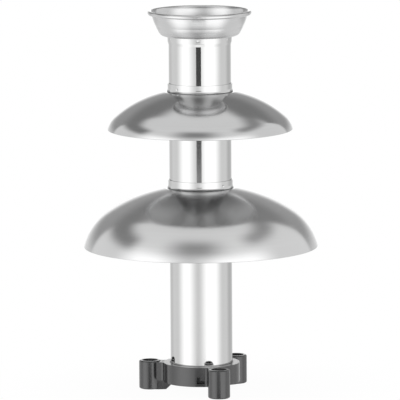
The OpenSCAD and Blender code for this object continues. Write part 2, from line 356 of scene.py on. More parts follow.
@dataclass(frozen=True)
class MouldedPlastic:
    """Black moulded plastic, half gloss, with a faint grain and scuffs; its moulded holes are
    rougher, with painted shade darkening their colour.
    """

    name: str = "black_plastic"
    dark: Triple = (0.016, 0.016, 0.017)
    light: Triple = (0.028, 0.028, 0.029)
    roughness: float = 0.17
    gloss: float = 1.0
    patch_scale: float = 60.0
    patch_detail: float = 4.0
    patch_dull: float = 0.12
    grain_scale: float = 1900.0
    grain_detail: float = 2.0
    grain_dull: float = 0.06
    grain_depth: float = 3e-5
    grain_share: float = 0.2
    # Holes and the recess: rougher there, and their colour painted dark as shade
    holes: tuple[Triple, ...] = ()
    recess_r: Point = (31.0, 36.6)
    recess_z: Point = (10.4, 18.3)
    border: float = 0.3
    hole_dull: float = 0.5

    def between(self, value: Value, span: Point) -> Value:
        """Where a value lies between two sizes, with soft borders.

        Args:
            value: the value, in metres.
            span: the two sizes, in millimetres.

        Returns:
            0 outside to 1 between them.
        """
        low, high = span
        rising = value.ramp((low - self.border) * MM, low * MM)
        return rising * (1.0 - value.ramp(high * MM, (high + self.border) * MM))

    def inside(self, across: Value, deep: Value, height: Value) -> Value:
        """Where the surface lies in a moulded hole or recess, which gets rougher and takes painted
        shade.

        Args:
            across: the point's X.
            deep: its Y.
            height: its Z.

        Returns:
            0 outside to 1 inside.
        """
        rings = self.between(from_axis(across, deep), self.recess_r)
        mask = rings * self.between(height, self.recess_z)
        for x, y, radius in self.holes:
            away = from_axis(across - x * MM, deep - y * MM)
            mask = mask + (1.0 - away.ramp(radius * MM, (radius + self.border) * MM))
        return mask

    def build(self) -> bpy.types.Material:
        """Makes the material.

        Returns:
            The material.
        """
        material, graph = new_material(self.name)
        point, *place = graph.place()
        grain = graph.noise(point, self.grain_scale, self.grain_detail)
        patches = graph.noise(point, self.patch_scale, self.patch_detail)
        inside = self.inside(*place)
        uneven = patches.uneven(self.patch_dull), grain.uneven(self.grain_dull)
        graph.surface({
            # Painted shade: the base colour falls to the dark tone in the holes and the recess
            "Base Color": graph.shade(patches * (1.0 - inside), self.dark, self.light),
            "Roughness": sum(uneven, self.roughness) + self.hole_dull * inside,
            "Specular IOR Level": self.gloss,
            "Normal": graph.bump(grain, self.grain_depth, self.grain_share),
        })
        return material


@dataclass(frozen=True)
class BrushedSteel:
    """Working steel of the auger, brushed along its length and a little hazy."""

    name: str = "auger_steel"
    dark: Triple = (0.42, 0.42, 0.42)
    light: Triple = (0.58, 0.58, 0.585)
    roughness: float = 0.3
    stretch: Triple = (1.0, 1.0, 0.06)
    brush_scale: float = 900.0
    brush_tint: float = 0.6
    brush_dull: float = 0.16
    brush_depth: float = 1e-5
    brush_share: float = 0.3
    haze_scale: float = 35.0
    haze_dull: float = 0.1

    def build(self) -> bpy.types.Material:
        """Makes the material.

        Returns:
            The material.
        """
        material, graph = new_material(self.name)
        point, *_ = graph.place()
        inputs = {0: point, 1: self.stretch}
        drawn = graph.node("ShaderNodeVectorMath", {"operation": "MULTIPLY"}, inputs).outputs[0]
        brushed = graph.noise(drawn, self.brush_scale)
        haze = graph.noise(point, self.haze_scale)
        uneven = brushed.uneven(self.brush_dull), haze.uneven(self.haze_dull)
        graph.surface({
            "Base Color": graph.shade(brushed.blend(haze, self.brush_tint), self.dark, self.light),
            "Metallic": 1.0,
            "Roughness": sum(uneven, self.roughness),
            "Normal": graph.bump(brushed, self.brush_depth, self.brush_share),
        })
        return material


Finish = Union[PolishedSteel, SpunSteel, MouldedPlastic, BrushedSteel]


def polar(angle: float) -> Vector:
    """Unit vector at an angle in degrees."""
    return Vector((math.cos(math.radians(angle)), math.sin(math.radians(angle))))


@dataclass(frozen=True)
class Step:
    """One step along a sheet's face: a straight run, or an arc that turns left or right."""

    size: float
    turn: float = 0.0

    def points(self, start: Vector, heading: float, shift: float) -> list[Vector]:
        """Points along the step, less its first.

        Args:
            start: where it starts, as radius and height.
            heading: the direction it leaves in, in degrees.
            shift: distance of the line to the right of the face.

        Returns:
            The points.
        """
        if self.turn == 0.0:
            return [start + self.size * polar(heading) + shift * polar(heading - 90.0)]
        side = math.copysign(1.0, self.turn)
        centre = start + self.size * polar(heading + side * 90.0)
        radius = self.size + side * shift
        chord = WIDE_CHORD if self.size > WIDE_ARC else TIGHT_CHORD
        count = max(MIN_CHORDS, math.ceil(abs(self.turn) / chord))
        first = heading - side * 90.0
        return [
            centre + radius * polar(first + self.turn * k / count) for k in range(1, count + 1)
        ]


@dataclass(frozen=True)
class Sheet:
    """A sheet's profile: a chain of steps along one face, with its thickness to the right."""

    start: Point
    heading: float
    steps: tuple[Step, ...]
    thickness: float

    def face(self, shift: float) -> list[Vector]:
        """Points along one face.

        Args:
            shift: distance to the right of the chain.

        Returns:
            The points, first to last.
        """
        here, heading = Vector(self.start), self.heading
        line = [here + shift * polar(heading - 90.0)]
        for step in self.steps:
            line += step.points(here, heading, shift)
            here = step.points(here, heading, 0.0)[-1]
            heading += step.turn
        return line

    def outline(self) -> Outline:
        """Joins both faces and their rounded cut edges.

        Returns:
            The closed outline.
        """
        front, back = self.face(0.0), self.face(self.thickness)
        end_heading = self.heading + sum(step.turn for step in self.steps)
        loop = front + edge_round(front[-1], back[-1], end_heading)
        loop += back[::-1] + edge_round(back[0], front[0], self.heading + 180.0)
        return [(p.x, p.y) for p in loop]


def edge_round(first: Vector, last: Vector, heading: float) -> list[Vector]:
    """A flat round between the two faces at a cut edge.

    Args:
        first: end of one face.
        last: end of the other face.
        heading: direction out of the sheet.

    Returns:
        The points between the two ends.
    """
    middle, half = (first + last) / 2.0, (first - last) / 2.0
    bulge = EDGE_BULGE * half.length
    angles = [math.pi * k / EDGE_CUTS for k in range(1, EDGE_CUTS)]
    return [middle + half * math.cos(a) + bulge * math.sin(a) * polar(heading) for a in angles]


def bulged(run: float, bulge: float) -> Step:
    """A run of a length that leans in at its foot and out at its top, by degrees."""
    return Step(run / 2.0 / math.sin(math.radians(bulge)), 2.0 * bulge)


def bend(radius: float, start: float, end: float) -> Vector:
    """How far out and up an arc goes from one heading to another, in degrees."""
    first, last = polar(start), polar(end)
    return math.copysign(radius, end - start) * Vector((last.y - first.y, first.x - last.x))


def tube_outline(inner: float, outer: float, span: Point, edge: float) -> Outline:
    """Outline of a tube with broken edges.

    Args:
        inner: radius of its bore.
        outer: radius of its outside.
        span: heights of its ends.
        edge: width of the broken edges.

    Returns:
        The closed outline.
    """
    low, high = span
    return [
        (inner + edge, low), (outer - edge, low), (outer, low + edge),
        (outer, high - edge), (outer - edge, high), (inner + edge, high),
        (inner, high - edge), (inner, low + edge),
    ]


def subdivided(outline: Outline, row: float) -> Outline:
    """Adds points to a closed outline.

    Args:
        outline: the loop.
        row: longest step between two points.

    Returns:
        The finer loop.
    """
    finer: Outline = []
    for k, first in enumerate(outline):
        a, b = Vector(first), Vector(outline[(k + 1) % len(outline)])
        count = max(1, math.ceil((b - a).length / row))
        finer += [tuple(a.lerp(b, n / count)) for n in range(count)]
    return finer


def spin(name: str, outline: Outline, segments: int = 192) -> bpy.types.Object:
    """Spins a closed outline round the axis.

    Args:
        name: name of the object.
        outline: radius and height of each point, in millimetres.
        segments: facets round the axis.

    Returns:
        The new object.
    """
    vertices, size = [], len(outline)
    for s in range(segments):
        angle = 2.0 * math.pi * s / segments
        for r, z in outline:
            vertices.append((r * MM * math.cos(angle), r * MM * math.sin(angle), z * MM))
    off_axis = [r > AXIS_R for r, _ in outline]
    rings = ring_faces(segments, size, closed=True)
    faces = [face for face in rings if off_axis[face[0] % size] or off_axis[face[1] % size]]
    return mesh_object(name, vertices, faces)


def ring_faces(rings: int, size: int, closed: bool = False) -> list[tuple[int, ...]]:
    """Faces between each ring of points and the next.

    Args:
        rings: how many rings there are.
        size: points of each ring.
        closed: whether the last ring is joined to the first.

    Returns:
        The faces, ring by ring.
    """
    faces = []
    for k in range(rings if closed else rings - 1):
        near, far = k * size, (k + 1) % rings * size
        for n in range(size):
            m = (n + 1) % size
            faces.append((near + n, near + m, far + m, far + n))
    return faces


def linked(name: str, mesh: bpy.types.Mesh) -> bpy.types.Object:
    """Puts a mesh in the scene.

    Args:
        name: name of the object.
        mesh: the mesh.

    Returns:
        The new object.
    """
    piece = bpy.data.objects.new(name, mesh)
    bpy.context.scene.collection.objects.link(piece)
    return piece


def mesh_object(name: str, vertices: Sequence, faces: Sequence,
                crease: float = CREASE) -> bpy.types.Object:
    """Makes a clean, smooth mesh object.

    Args:
        name: name of the object.
        vertices: points in metres.
        faces: vertex numbers of each face.
        crease: angle in degrees above which an edge stays sharp.

    Returns:
        The new object, in the scene.
    """
    mesh = bpy.data.meshes.new(name)
    mesh.from_pydata(vertices, [], faces)
    bm = bmesh.new()
    bm.from_mesh(mesh)
    bmesh.ops.remove_doubles(bm, verts=bm.verts, dist=MERGE)
    bmesh.ops.dissolve_degenerate(bm, edges=bm.edges, dist=DEGENERATE)
    bmesh.ops.recalc_face_normals(bm, faces=bm.faces)
    bm.to_mesh(mesh)
    bm.free()
    smooth(mesh, crease)
    return linked(name, mesh)


def smooth(mesh: bpy.types.Mesh, crease: float) -> None:
    """Shades a mesh smooth.

    Args:
        mesh: the mesh.
        crease: angle in degrees above which an edge stays sharp.
    """
    mesh.polygons.foreach_set("use_smooth", [True] * len(mesh.polygons))
    mesh.set_sharp_from_angle(angle=math.radians(crease))
    mesh.update()


class Workshop:
    """Places finished pieces: each gets a finish, a body and the solids it stands for."""

    def __init__(self) -> None:
        """Names the usual finish of each slot."""
        self.usual: dict[Slot, Finish] = {
            Slot.POLISHED_STEEL: PolishedSteel(),
            Slot.SPUN_STEEL: SpunSteel(),
            Slot.BLACK_PLASTIC: MouldedPlastic(),
            Slot.AUGER_STEEL: BrushedSteel(),
        }
        self.materials: dict[Finish, bpy.types.Material] = {}

    def place(self, piece: bpy.types.Object, slot: Slot, body: Body, *nodes: str,
              finish: Optional[Finish] = None) -> None:
        """Finishes one piece. Each finish is made once.

        Args:
            piece: the object.
            slot: its material slot.
            body: the body it rides on.
            *nodes: the solids it stands for.
            finish: its own finish, or None for the slot's usual one.
        """
        chosen = finish or self.usual[slot]
        if chosen not in self.materials:
            self.materials[chosen] = chosen.build()
        piece.data.materials.clear()
        piece.data.materials.append(self.materials[chosen])
        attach(piece, body.value)
        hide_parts(*nodes)
        count = len(piece.data.polygons)
        LOG.info("%s: %d faces, %s, rides on %s", piece.name, count, slot.value, body.value)


@dataclass
class Column:
    """The tubes, from the foot ring to the crown, and the rings that carry the tiers."""

    tube_r: float = 30.2
    bore_r: float = 29.0
    edge: float = 0.3
    rest_ring_w: float = 2.6
    rest_ring_h: float = 3.0
    rest_ring_cuts: int = 10
    neck_len: float = 6.0
    lower_span: Point = (18.4, 203.6)
    middle_span: Point = (203.9, 297.6)
    upper_span: Point = (297.9, 347.2)
    lower_seat: float = 199.2
    upper_seat: float = 293.2

    def tube(self, span: Point) -> Outline:
        """Outline of one tube between two heights."""
        return tube_outline(self.bore_r, self.tube_r, span, self.edge)

    def rest_ring(self, seat: float) -> Outline:
        """Outline of a ring under a tier's neck, rounded below.

        Args:
            seat: height of the tier's seat.

        Returns:
            The closed outline.
        """
        inner, outer = self.tube_r, self.tube_r + self.rest_ring_w
        top, radius = seat - self.neck_len, self.rest_ring_w / 2.0
        foot = top - self.rest_ring_h
        centre = Vector((outer - radius, foot + radius))
        turns = [-90.0 + 90.0 * k / self.rest_ring_cuts for k in range(self.rest_ring_cuts + 1)]
        curve = [tuple(centre + radius * polar(turn)) for turn in turns]
        edge = [(outer, top - self.edge), (outer - self.edge, top)]
        return [(inner, top), (inner, foot)] + curve + edge

    def build(self, shop: Workshop) -> None:
        """Builds and places the tubes and rings.

        Args:
            shop: places the pieces.
        """
        lower, upper = self.rest_ring(self.lower_seat), self.rest_ring(self.upper_seat)
        pieces = (
            ("lower_column", self.tube(self.lower_span), Body.BASE, "lower_tube"),
            ("middle_column", self.tube(self.middle_span), Body.MIDDLE_TUBE, "middle_tube"),
            ("upper_column", self.tube(self.upper_span), Body.UPPER_TUBE, "upper_tube"),
            ("lower_tier_rest", lower, Body.BASE, "lower_rest_ring"),
            ("upper_tier_rest", upper, Body.MIDDLE_TUBE, "upper_rest_ring"),
        )
        for name, outline, body, node in pieces:
            shop.place(spin(name, outline), Slot.POLISHED_STEEL, body, node)


@dataclass
class Tier:
    """A spun dome with a neck that slips over the tube below."""

    name: str
    body: Body
    node: str
    seat: float
    diameter: float
    height: float
    seat_slope: float
    flank_slope: float
    finish: SpunSteel = SpunSteel()
    rim_slope: float = 75.0
    slip_r: float = 30.3
    neck_len: float = 6.0
    neck_bend_r: float = 1.6
    seat_w: float = 2.0
    seat_blend_r: float = 8.0
    thickness: float = 1.0
    segments: int = 256

    def radii(self) -> tuple[float, float]:
        """Solves the two arcs that join the seat to the rim.

        Returns:
            The radii of the flank and of the rim.
        """
        slopes = (self.seat_slope, self.flank_slope, self.rim_slope)
        top, flank, rim = (math.radians(slope) for slope in slopes)
        start = self.slip_r + self.neck_bend_r + self.seat_w + self.seat_blend_r * math.sin(top)
        width = self.diameter / 2.0 - start
        drop = self.height - self.seat_blend_r * (1.0 - math.cos(top))
        a, b = math.sin(flank) - math.sin(top), math.sin(rim) - math.sin(flank)
        c, d = math.cos(top) - math.cos(flank), math.cos(flank) - math.cos(rim)
        det = a * d - b * c
        return (width * d - b * drop) / det, (a * drop - c * width) / det

    def build(self, shop: Workshop) -> None:
        """Builds and places the dome.

        Args:
            shop: places the piece.
        """
        flank_r, rim_r = self.radii()
        steps = (
            Step(self.neck_len - self.neck_bend_r),
            Step(self.neck_bend_r, -90.0),
            Step(self.seat_w),
            Step(self.seat_blend_r, -self.seat_slope),
            Step(flank_r, self.seat_slope - self.flank_slope),
            Step(rim_r, self.flank_slope - self.rim_slope),
        )
        sheet = Sheet((self.slip_r, self.seat - self.neck_len), 90.0, steps, self.thickness)
        dome = spin(self.name, sheet.outline(), self.segments)
        shop.place(dome, Slot.SPUN_STEEL, self.body, self.node, finish=self.finish)


@dataclass
class Collars:
    """The two flared sleeves on the tiers and the bevelled sleeve under the crown, with dimples."""

    slip_r: float = 30.3
    thickness: float = 1.0
    height: float = 8.0
    middle_seat: float = 199.2
    upper_seat: float = 293.2
    mouth_r: float = 5.0
    mouth_turn: float = 40.0
    lean: float = 1.3
    crown_seat: float = 347.2
    crown_height: float = 8.2
    crown_bevel: float = 2.8
    crown_draft: float = 0.2
    crown_foot_share: float = 0.25
    dimple_h: float = 3.6
    crown_dimple_drop: float = 2.2
    middle_dimples: tuple[float, ...] = (-46.0, 74.0, 194.0)
    upper_dimples: tuple[float, ...] = (-135.0, -15.0, 105.0)
    crown_dimples: tuple[float, ...] = (-33.0, 87.0, 207.0, 267.0)
    dimple_r: float = 1.25
    dimple_depth: float = 0.55
    dimple_fall: float = 1.5
    skin: float = 0.3
    segments: int = 480
    row: float = 0.35

    def flared(self, seat: float) -> Outline:
        """Outline of a sleeve that stands on a tier.

        Args:
            seat: height of the tier's seat.

        Returns:
            The closed outline.
        """
        mouth = (self.slip_r + self.mouth_r * (1.0 - polar(self.mouth_turn).x), seat)
        steps = (Step(self.mouth_r, -self.mouth_turn - self.lean), Step(self.height))
        sheet = Sheet(mouth, 90.0 + self.mouth_turn, steps, self.thickness)
        return [(r, min(max(z, seat), seat + self.height)) for r, z in sheet.outline()]

    def bevelled(self) -> Outline:
        """Outline of the sleeve under the crown.

        Returns:
            The closed outline.
        """
        outer = self.slip_r + self.thickness
        foot = self.crown_seat - self.crown_height
        foot_r = self.slip_r + self.thickness * self.crown_foot_share - self.crown_draft
        return [
            (self.slip_r, foot), (foot_r, foot),
            (outer - self.crown_draft, foot + self.crown_bevel), (outer, self.crown_seat),
            (self.slip_r, self.crown_seat),
        ]

    def build(self, shop: Workshop) -> None:
        """Builds, dimples and places the three sleeves.

        Args:
            shop: places the pieces.
        """
        middle, upper = self.middle_seat, self.upper_seat
        sleeves = (
            ("middle_sleeve", Body.MIDDLE_TUBE, "middle_collar", self.flared(middle),
             middle + self.dimple_h, self.middle_dimples),
            ("upper_sleeve", Body.UPPER_TUBE, "upper_collar", self.flared(upper),
             upper + self.dimple_h, self.upper_dimples),
            ("crown_sleeve", Body.CROWN, "crown_collar", self.bevelled(),
             self.crown_seat - self.crown_dimple_drop, self.crown_dimples),
        )
        for name, body, node, outline, height, angles in sleeves:
            sleeve = spin(name, subdivided(outline, self.row), self.segments)
            for angle in angles:
                self.dimple(sleeve.data, angle, height)
            shop.place(sleeve, Slot.POLISHED_STEEL, body, node)

    def dimple(self, mesh: bpy.types.Mesh, angle: float, height: float) -> None:
        """Presses one dimple into a sleeve's outer face.

        Args:
            mesh: the sleeve's mesh.
            angle: its direction, in degrees from +X.
            height: its height.
        """
        face_r, out = self.slip_r + self.thickness, polar(angle)
        spot = Vector((out.x * face_r * MM, out.y * face_r * MM, height * MM))
        for vertex in mesh.vertices:
            flat = Vector((vertex.co.x, vertex.co.y))
            reach = (vertex.co - spot).length / (self.dimple_r * MM)
            if reach < 1.0 and flat.length > (face_r - self.skin) * MM:
                depth = self.dimple_depth * MM * (1.0 - reach * reach) ** self.dimple_fall
                vertex.co -= Vector((out.x, out.y, 0.0)) * depth
        mesh.update()


@dataclass
class Crown:
    """The cup at the top, with a creased wall and a rolled rim."""

    seat: float = 347.2
    hole_r: float = 29.0
    diameter: float = 100.6
    height: float = 24.4
    foot_slope: float = 62.0
    foot_bulge: float = 7.5
    wall_slope: float = 71.0
    wall_bulge: float = 8.5
    crease_h: float = 10.0
    crease_r: float = 2.0
    floor_r: float = 5.0
    neck_r: float = 8.0
    neck_slope: float = 58.0
    bead_r: float = 2.1
    bead_turn: float = 258.0
    thickness: float = 1.0
    segments: int = 224
    finish: SpunSteel = SpunSteel("soft_steel", roughness=0.2)

    def build(self, shop: Workshop) -> None:
        """Builds and places the cup.

        Args:
            shop: places the piece.
        """
        foot, wall = polar(self.foot_slope), polar(self.wall_slope)
        foot_low, foot_high = self.foot_slope - self.foot_bulge, self.foot_slope + self.foot_bulge
        wall_low, wall_high = self.wall_slope - self.wall_bulge, self.wall_slope + self.wall_bulge
        floor_bend = bend(self.floor_r, 0.0, foot_low)
        crease = bend(self.crease_r, foot_high, wall_low)
        neck = bend(self.neck_r, wall_high, self.neck_slope)
        bead = self.bead_r * (polar(self.neck_slope - 90.0) + Vector((1.0, 1.0)))
        foot_run = (self.crease_h - self.thickness - floor_bend.y) / foot.y
        wall_run = (self.height - self.crease_h - (crease + neck + bead).y) / wall.y
        floor_edge = self.diameter / 2.0
        floor_edge -= (floor_bend + foot_run * foot + crease + wall_run * wall + neck + bead).x
        steps = (
            Step(floor_edge - self.hole_r),
            Step(self.floor_r, foot_low),
            bulged(foot_run, self.foot_bulge),
            Step(self.crease_r, wall_low - foot_high),
            bulged(wall_run, self.wall_bulge),
            Step(self.neck_r, self.neck_slope - wall_high),
            Step(self.bead_r, -self.bead_turn),
        )
        sheet = Sheet((self.hole_r, self.seat + self.thickness), 0.0, steps, self.thickness)
        cup = spin("crown_cup", sheet.outline(), self.segments)
        shop.place(cup, Slot.SPUN_STEEL, Body.CROWN, "crown", finish=self.finish)


@dataclass
class Auger:
    """The screw that lifts the chocolate: core tube, flight, drive hub and top plug."""

    core_r: float = 11.0
    core_bore_r: float = 9.5
    core_edge: float = 0.25
    core_span: Point = (17.6, 336.7)
    flight_r: float = 28.4
    flight_t: float = 2.4
    flight_edge: float = 0.35
    flight_crease: float = 40.0
    flight_span: Point = (9.0, 335.2)
    pitch: float = 36.0
    weld_r: float = 1.6
    weld_sink: float = 0.2
    weld_cuts: int = 5
    foot: float = 4.6
    plug_r: float = 9.48
    plug_len: float = 16.0
    bore_r: float = 5.0
    bore_depth: float = 24.0
    hub_edge: float = 0.4
    hub_round: float = 0.2
    shoulder_edge: float = 0.15
    slot_w: float = 3.2
    slot_depth: float = 6.0
    clear: float = 1.0
    tip_h: float = 6.0
    tip_cuts: int = 14
    segments: int = 96
    steps_per_turn: int = 72

    def flight_section(self) -> Outline:
        """Section of the blade, with weld fillets at its root.

        Returns:
            The closed outline, as radius and height above the blade's middle.
        """
        half, edge, root = self.flight_t / 2.0, self.flight_edge, self.core_r - self.weld_sink
        angles = [math.radians(90.0 * k / self.weld_cuts) for k in range(self.weld_cuts + 1)]
        upper = [
            (root + self.weld_r * (1.0 - math.cos(a)), half + self.weld_r * (1.0 - math.sin(a)))
            for a in angles
        ]
        upper += [(self.flight_r - edge, half), (self.flight_r, half - edge)]
        return upper + [(r, -z) for r, z in reversed(upper)]

    def flight(self) -> bpy.types.Object:
        """Winds the blade's section up the core.

        Returns:
            The blade.
        """
        section = self.flight_section()
        half = self.flight_t / 2.0
        low, high = self.flight_span[0] + half, self.flight_span[1] - half
        turns = (high - low) / self.pitch
        count = math.ceil(turns * self.steps_per_turn)
        size = len(section)
        vertices = []
        for k in range(count + 1):
            z = low + (high - low) * k / count
            angle = 2.0 * math.pi * (z - self.flight_span[0]) / self.pitch
            for r, lift in section:
                x, y = r * math.cos(angle), r * math.sin(angle)
                vertices.append((x * MM, y * MM, (z + lift) * MM))
        ends = [tuple(range(size)), tuple(count * size + n for n in reversed(range(size)))]
        faces = ring_faces(count + 1, size) + ends
        return mesh_object("auger_blade", vertices, faces, self.flight_crease)

    def core(self) -> bpy.types.Object:
        """The core tube with broken edges."""
        outline = tube_outline(self.core_bore_r, self.core_r, self.core_span, self.core_edge)
        return spin("auger_core", outline, self.segments)

    def hub(self) -> bpy.types.Object:
        """Turns, bores and slots the plug in the core tube's foot.

        Returns:
            The plug.
        """
        foot, shoulder, e, lip = self.foot, self.core_span[0], self.hub_edge, self.shoulder_edge
        top, bore_top = shoulder + self.plug_len, foot + self.bore_depth
        body = Solid(spin("auger_hub", [
            (self.bore_r + e, foot), (self.core_r - e, foot), (self.core_r, foot + e),
            (self.core_r, shoulder - lip), (self.core_r - lip, shoulder), (self.plug_r, shoulder),
            (self.plug_r, top - e), (self.plug_r - e, top), (0.0, top), (0.0, bore_top),
            (self.bore_r, bore_top), (self.bore_r, foot + e),
        ], self.segments))
        reach, half = 3.0 * self.core_r, self.slot_w / 2.0
        loop = [(-reach, -half), (reach, -half), (reach, half), (-reach, half)]
        body.cut(prism(loop, foot - self.clear, foot + self.slot_depth), Matrix())
        return body.finish(self.hub_round)

    def plug(self) -> bpy.types.Object:
        """Turns the rounded plug in the core tube's top.

        Returns:
            The plug.
        """
        top = self.core_span[1]
        foot = top - self.plug_len
        radius = (self.core_r ** 2 + self.tip_h ** 2) / (2.0 * self.tip_h)
        sweep = math.degrees(math.asin(self.core_r / radius))
        centre = Vector((0.0, top + self.tip_h - radius))
        turns = [90.0 - sweep + sweep * k / self.tip_cuts for k in range(self.tip_cuts + 1)]
        curve = [centre + radius * polar(turn) for turn in turns]
        outline = [(0.0, foot), (self.plug_r, foot), (self.plug_r, top)]
        outline += [(max(p.x, 0.0), p.y) for p in curve]
        return spin("auger_tip", outline, self.segments)

    def build(self, shop: Workshop) -> None:
        """Builds and places the screw's pieces.

        Args:
            shop: places the pieces.
        """
        steel = Slot.AUGER_STEEL
        shop.place(self.flight(), steel, Body.AUGER, "auger_flight")
        shop.place(self.core(), steel, Body.AUGER, "auger_tube")
        shop.place(self.hub(), steel, Body.AUGER, "auger_drive_hub")
        shop.place(self.plug(), steel, Body.AUGER, "auger_top_plug")


@dataclass
class Solid:
    """A mesh that other meshes are joined to or cut from, and whose edges are then rounded."""

    piece: bpy.types.Object
    weld_gap: float = 2e-6
    flat_angle: float = 0.4
    round_angle: float = 32.0
    round_cuts: int = 2

    def combine(self, tool: bpy.types.Object, place: Matrix, operation: str) -> None:
        """Moves a tool to its place, applies one boolean and deletes the tool.

        Args:
            tool: the other object.
            place: the tool's move, in metres.
            operation: UNION or DIFFERENCE.
        """
        tool.data.transform(place)
        modifier = self.piece.modifiers.new("boolean", "BOOLEAN")
        modifier.operation = operation
        modifier.solver = "EXACT"
        modifier.object = tool
        self.apply()
        bpy.data.objects.remove(tool)

    def join(self, tool: bpy.types.Object, place: Matrix) -> None:
        """Joins another mesh to this one, at its place."""
        self.combine(tool, place, "UNION")

    def cut(self, tool: bpy.types.Object, place: Matrix) -> None:
        """Cuts another mesh from this one, at its place."""
        self.combine(tool, place, "DIFFERENCE")

    def apply(self) -> None:
        """Turns the modifiers' result into the mesh."""
        bpy.context.view_layer.update()
        depsgraph = bpy.context.evaluated_depsgraph_get()
        mesh = bpy.data.meshes.new_from_object(self.piece.evaluated_get(depsgraph))
        self.piece.modifiers.clear()
        old = self.piece.data
        self.piece.data = mesh
        bpy.data.meshes.remove(old)
        mesh.name = self.piece.name

    def finish(self, edge: float) -> bpy.types.Object:
        """Cleans the mesh and rounds its sharp edges.

        Args:
            edge: width of the rounding, in millimetres.

        Returns:
            The finished object.
        """
        flat = math.radians(self.flat_angle)
        bm = bmesh.new()
        bm.from_mesh(self.piece.data)
        bmesh.ops.remove_doubles(bm, verts=bm.verts, dist=self.weld_gap)
        bmesh.ops.dissolve_limit(bm, angle_limit=flat, verts=bm.verts, edges=bm.edges)
        bm.to_mesh(self.piece.data)
        bm.free()
        smooth(self.piece.data, 180.0)
        bevel = self.piece.modifiers.new("edges", "BEVEL")
        bevel.width = edge * MM
        bevel.segments = self.round_cuts
        bevel.limit_method = "ANGLE"
        bevel.angle_limit = math.radians(self.round_angle)
        self.piece.modifiers.new("normals", "WEIGHTED_NORMAL")
        self.apply()
        return self.piece


def prism(loop: Sequence[Point], low: float, high: float) -> bpy.types.Object:
    """A straight prism on a flat loop.

    Args:
        loop: its points, in millimetres.
        low: its foot.
        high: its top.

    Returns:
        The prism.
    """
    count = len(loop)
    vertices = [(x * MM, y * MM, z * MM) for z in (low, high) for x, y in loop]
    ends = [tuple(range(count)), tuple(range(count, 2 * count))]
    return mesh_object("tool", vertices, ends + ring_faces(2, count))


def about_axis(angle: float) -> Matrix:
    """A turn about the column's axis, in degrees."""
    return Matrix.Rotation(math.radians(angle), 4, "Z")


